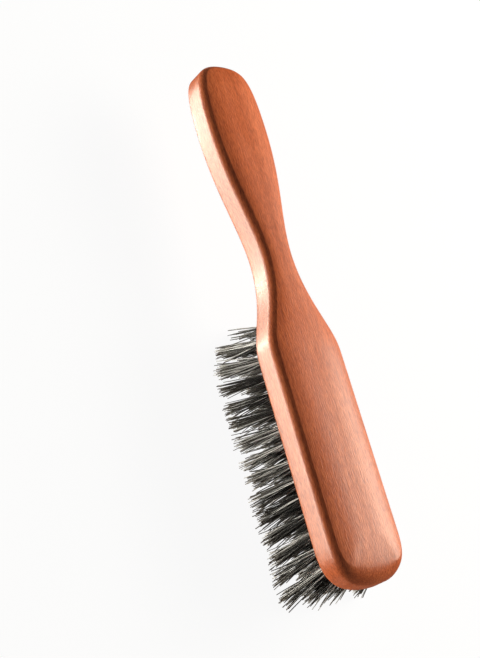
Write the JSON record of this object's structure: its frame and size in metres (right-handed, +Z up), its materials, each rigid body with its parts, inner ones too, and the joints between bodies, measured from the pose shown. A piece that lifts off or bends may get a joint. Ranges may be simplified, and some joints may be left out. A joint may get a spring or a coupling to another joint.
{
  "type": "beard brush",
  "caption": "Flat wooden beard brush with a straight-sided head, a waisted neck and a paddle handle, and rows of dark boar-bristle tufts that fan out under the head.",
  "frame": {"origin": "on the floor under the trimmed bristle tips, midway along the board's length and on its centre line", "axes": "+X from the head's tip to the end of the handle, +Y to the side, +Z up from the bristle tips through the flat back"},
  "size_m": [0.18, 0.0334, 0.0295],
  "materials": {
    "pearwood": "reddish-brown pearwood, sanded smooth, satin oil or lacquer, fine short grain flecks",
    "boar_bristle": "stiff grey-black boar bristle with a slight sheen, trimmed level"
  },
  "bodies": {
    "root": {"brush_body": "pearwood", "bristle_tuft_row1_01": "boar_bristle", "bristle_tuft_row1_02": "boar_bristle", "bristle_tuft_row1_03": "boar_bristle", "bristle_tuft_row1_04": "boar_bristle", "bristle_tuft_row1_05": "boar_bristle", "bristle_tuft_row1_06": "boar_bristle", "bristle_tuft_row1_07": "boar_bristle", "bristle_tuft_row1_08": "boar_bristle", "bristle_tuft_row1_09": "boar_bristle", "bristle_tuft_row1_10": "boar_bristle", "bristle_tuft_row1_11": "boar_bristle", "bristle_tuft_row1_12": "boar_bristle", "bristle_tuft_row1_13": "boar_bristle", "bristle_tuft_row1_14": "boar_bristle", "bristle_tuft_row2_01": "boar_bristle", "bristle_tuft_row2_02": "boar_bristle", "bristle_tuft_row2_03": "boar_bristle", "bristle_tuft_row2_04": "boar_bristle", "bristle_tuft_row2_05": "boar_bristle", "bristle_tuft_row2_06": "boar_bristle", "bristle_tuft_row2_07": "boar_bristle", "bristle_tuft_row2_08": "boar_bristle", "bristle_tuft_row2_09": "boar_bristle", "bristle_tuft_row2_10": "boar_bristle", "bristle_tuft_row2_11": "boar_bristle", "bristle_tuft_row2_12": "boar_bristle", "bristle_tuft_row2_13": "boar_bristle", "bristle_tuft_row2_14": "boar_bristle", "bristle_tuft_row2_15": "boar_bristle", "bristle_tuft_row3_01": "boar_bristle", "bristle_tuft_row3_02": "boar_bristle", "bristle_tuft_row3_03": "boar_bristle", "bristle_tuft_row3_04": "boar_bristle", "bristle_tuft_row3_05": "boar_bristle", "bristle_tuft_row3_06": "boar_bristle", "bristle_tuft_row3_07": "boar_bristle", "bristle_tuft_row3_08": "boar_bristle", "bristle_tuft_row3_09": "boar_bristle", "bristle_tuft_row3_10": "boar_bristle", "bristle_tuft_row3_11": "boar_bristle", "bristle_tuft_row3_12": "boar_bristle", "bristle_tuft_row3_13": "boar_bristle", "bristle_tuft_row3_14": "boar_bristle", "bristle_tuft_row3_15": "boar_bristle", "bristle_tuft_row4_01": "boar_bristle", "bristle_tuft_row4_02": "boar_bristle", "bristle_tuft_row4_03": "boar_bristle", "bristle_tuft_row4_04": "boar_bristle", "bristle_tuft_row4_05": "boar_bristle", "bristle_tuft_row4_06": "boar_bristle", "bristle_tuft_row4_07": "boar_bristle", "bristle_tuft_row4_08": "boar_bristle", "bristle_tuft_row4_09": "boar_bristle", "bristle_tuft_row4_10": "boar_bristle", "bristle_tuft_row4_11": "boar_bristle", "bristle_tuft_row4_12": "boar_bristle", "bristle_tuft_row4_13": "boar_bristle", "bristle_tuft_row4_14": "boar_bristle"}
  },
  "joints": []
}
